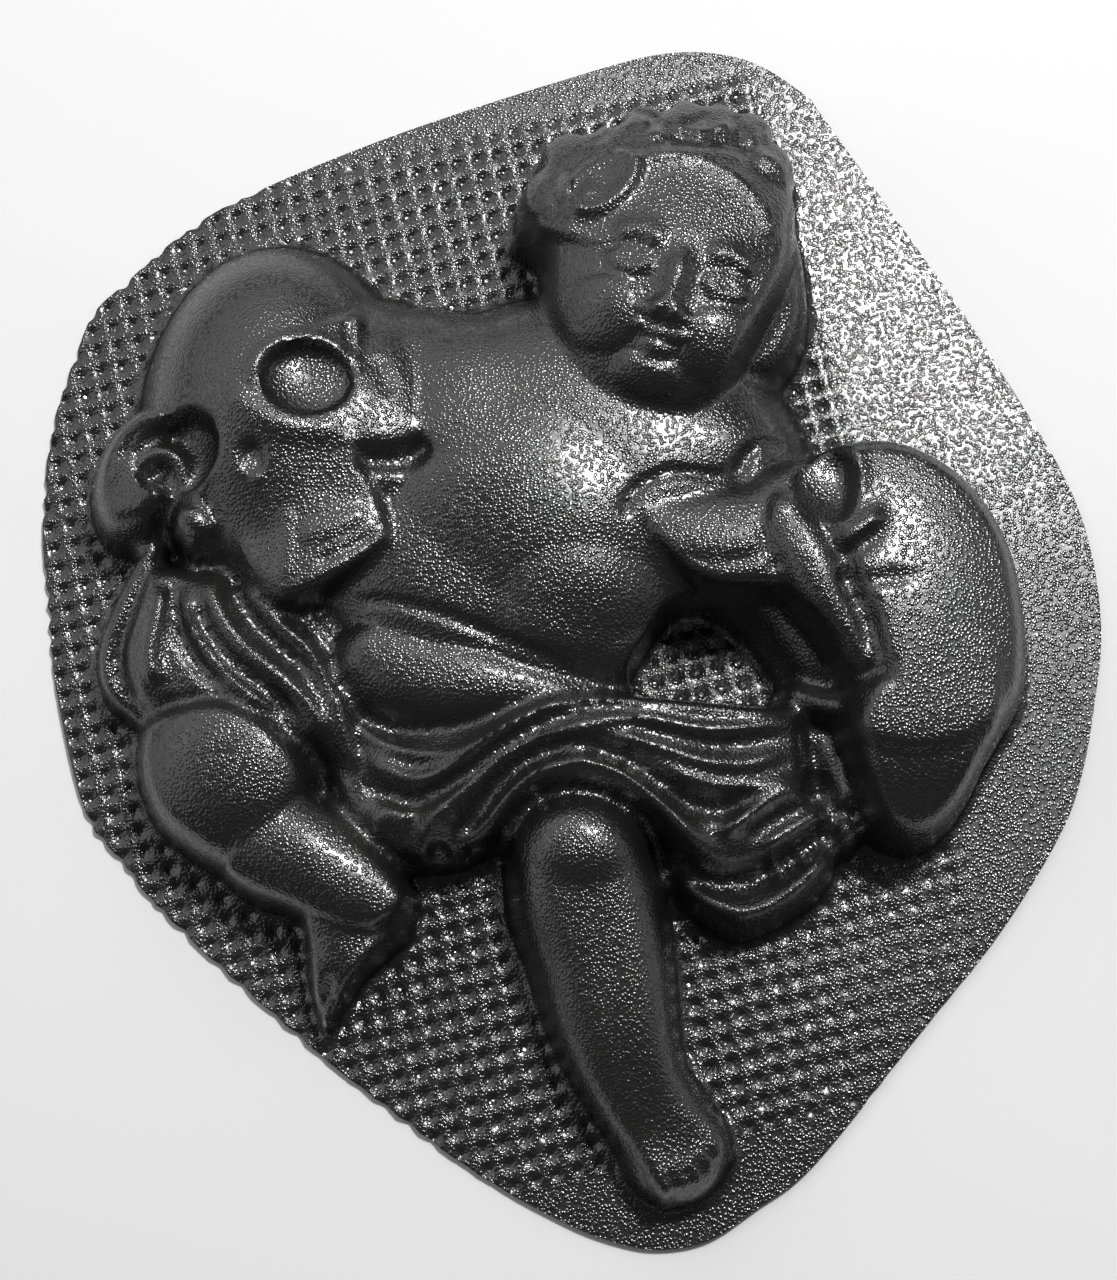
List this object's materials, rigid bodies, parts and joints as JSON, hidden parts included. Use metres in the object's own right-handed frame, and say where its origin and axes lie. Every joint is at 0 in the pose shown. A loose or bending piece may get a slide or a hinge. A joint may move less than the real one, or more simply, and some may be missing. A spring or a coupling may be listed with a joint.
{
  "type": "casting mould",
  "caption": "Vacuum-formed sheet mould with a trimmed flange, hollow from below, whose relief shows a reclining cherub between two skulls.",
  "frame": {"origin": "middle of the underside of the flange, at the centre of the outline's bounding box", "axes": "+Z out of the relief, +Y from the cherub's foot towards its head, +X towards the lying skull"},
  "size_m": [0.318, 0.364, 0.0577],
  "materials": {
    "black_sheet": "satin, pebbled haircell grain"
  },
  "bodies": {
    "root": {"mould_shell": "black_sheet"}
  },
  "joints": []
}
